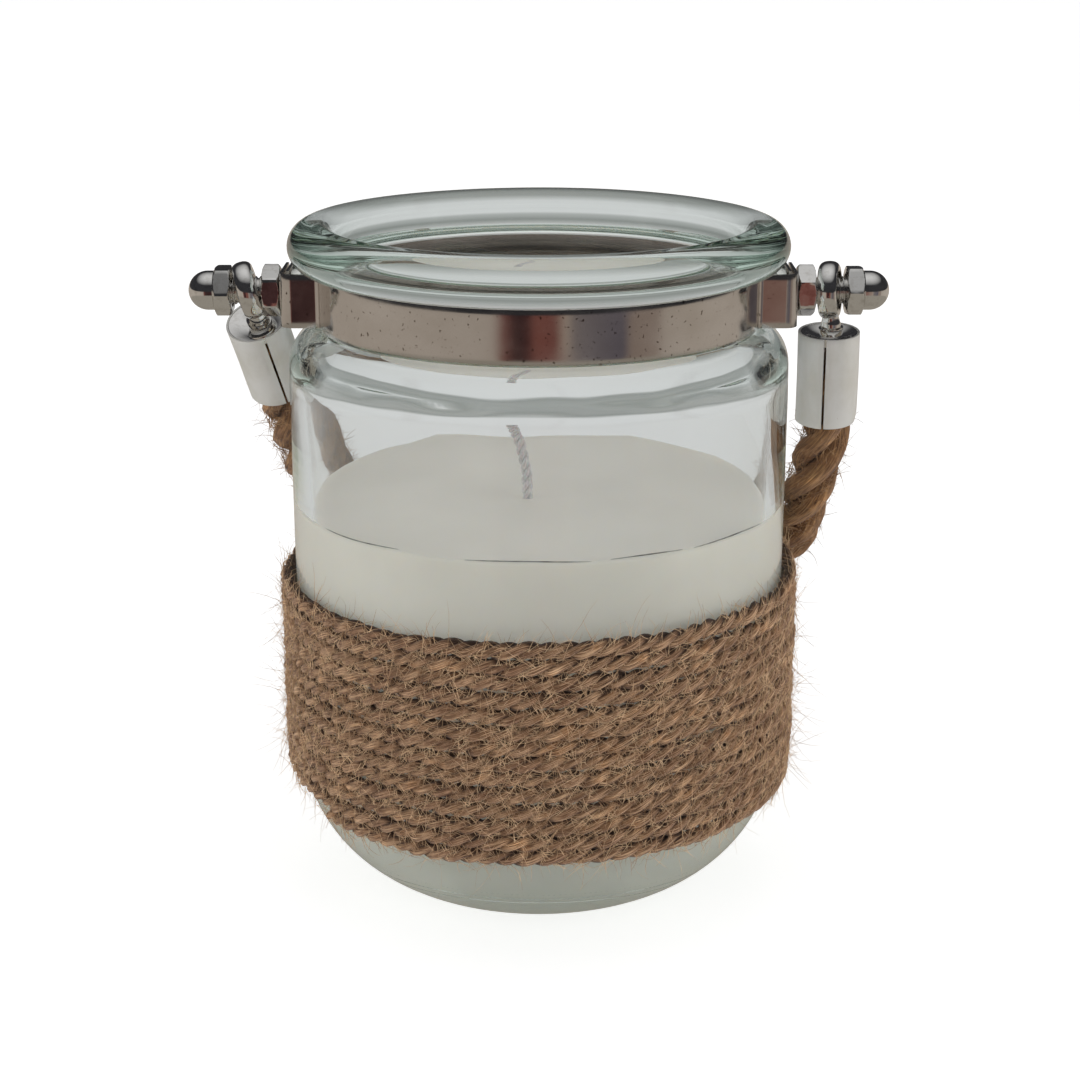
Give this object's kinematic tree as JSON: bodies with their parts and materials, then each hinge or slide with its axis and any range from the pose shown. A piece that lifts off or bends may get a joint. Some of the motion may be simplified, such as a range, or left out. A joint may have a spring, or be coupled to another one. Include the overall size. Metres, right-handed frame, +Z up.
{
  "type": "candle jar lantern",
  "caption": "Clear glass candle jar with a rolled rim, steel neck strap, jute twine wrap, poured wax with a wick, and a jute rope bail swinging on side bolts.",
  "frame": {"origin": "on the jar's axis, at the plane the foot ring stands on", "axes": "+Z up along the jar's axis, +X along the two side bolts towards the right-hand bolt, -Y towards the front"},
  "size_m": [0.1216, 0.103, 0.1189],
  "materials": {
    "clear_glass": "clear, slightly green at thick edges",
    "ivory_wax": "smooth translucent poured wax",
    "wick_cotton": "braided cotton, waxed",
    "tinned_steel": "dull tin plate",
    "jute_twine": "twisted natural jute, fuzzy",
    "jute_rope": "three-strand natural jute rope, fuzzy",
    "polished_strap_steel": "polished strip with small specks",
    "bright_chrome": "bright plated",
    "satin_steel": "satin plated sheet"
  },
  "bodies": {
    "jar": {"glass_jar": "clear_glass", "candle_wax": "ivory_wax", "wick": "wick_cotton", "wick_sustainer": "tinned_steel", "twine_wrap": "jute_twine", "front_band": "polished_strap_steel", "rear_band": "polished_strap_steel", "left_bolt": "bright_chrome", "right_bolt": "bright_chrome", "left_hex_nut": "bright_chrome", "right_hex_nut": "bright_chrome", "left_cap_nut": "bright_chrome", "right_cap_nut": "bright_chrome"},
    "handle": {"left_eye_ring": "bright_chrome", "right_eye_ring": "bright_chrome", "left_ferrule_plate": "bright_chrome", "right_ferrule_plate": "bright_chrome", "left_ferrule_sleeve": "satin_steel", "right_ferrule_sleeve": "satin_steel", "rope_handle": "jute_rope"}
  },
  "joints": [
    {"name": "handle_swing", "type": "hinge", "parent": "jar", "child": "handle", "pos_m": [0, 0, 0.1064], "axis": [1, 0, 0], "range_deg": [0, 275]}
  ]
}
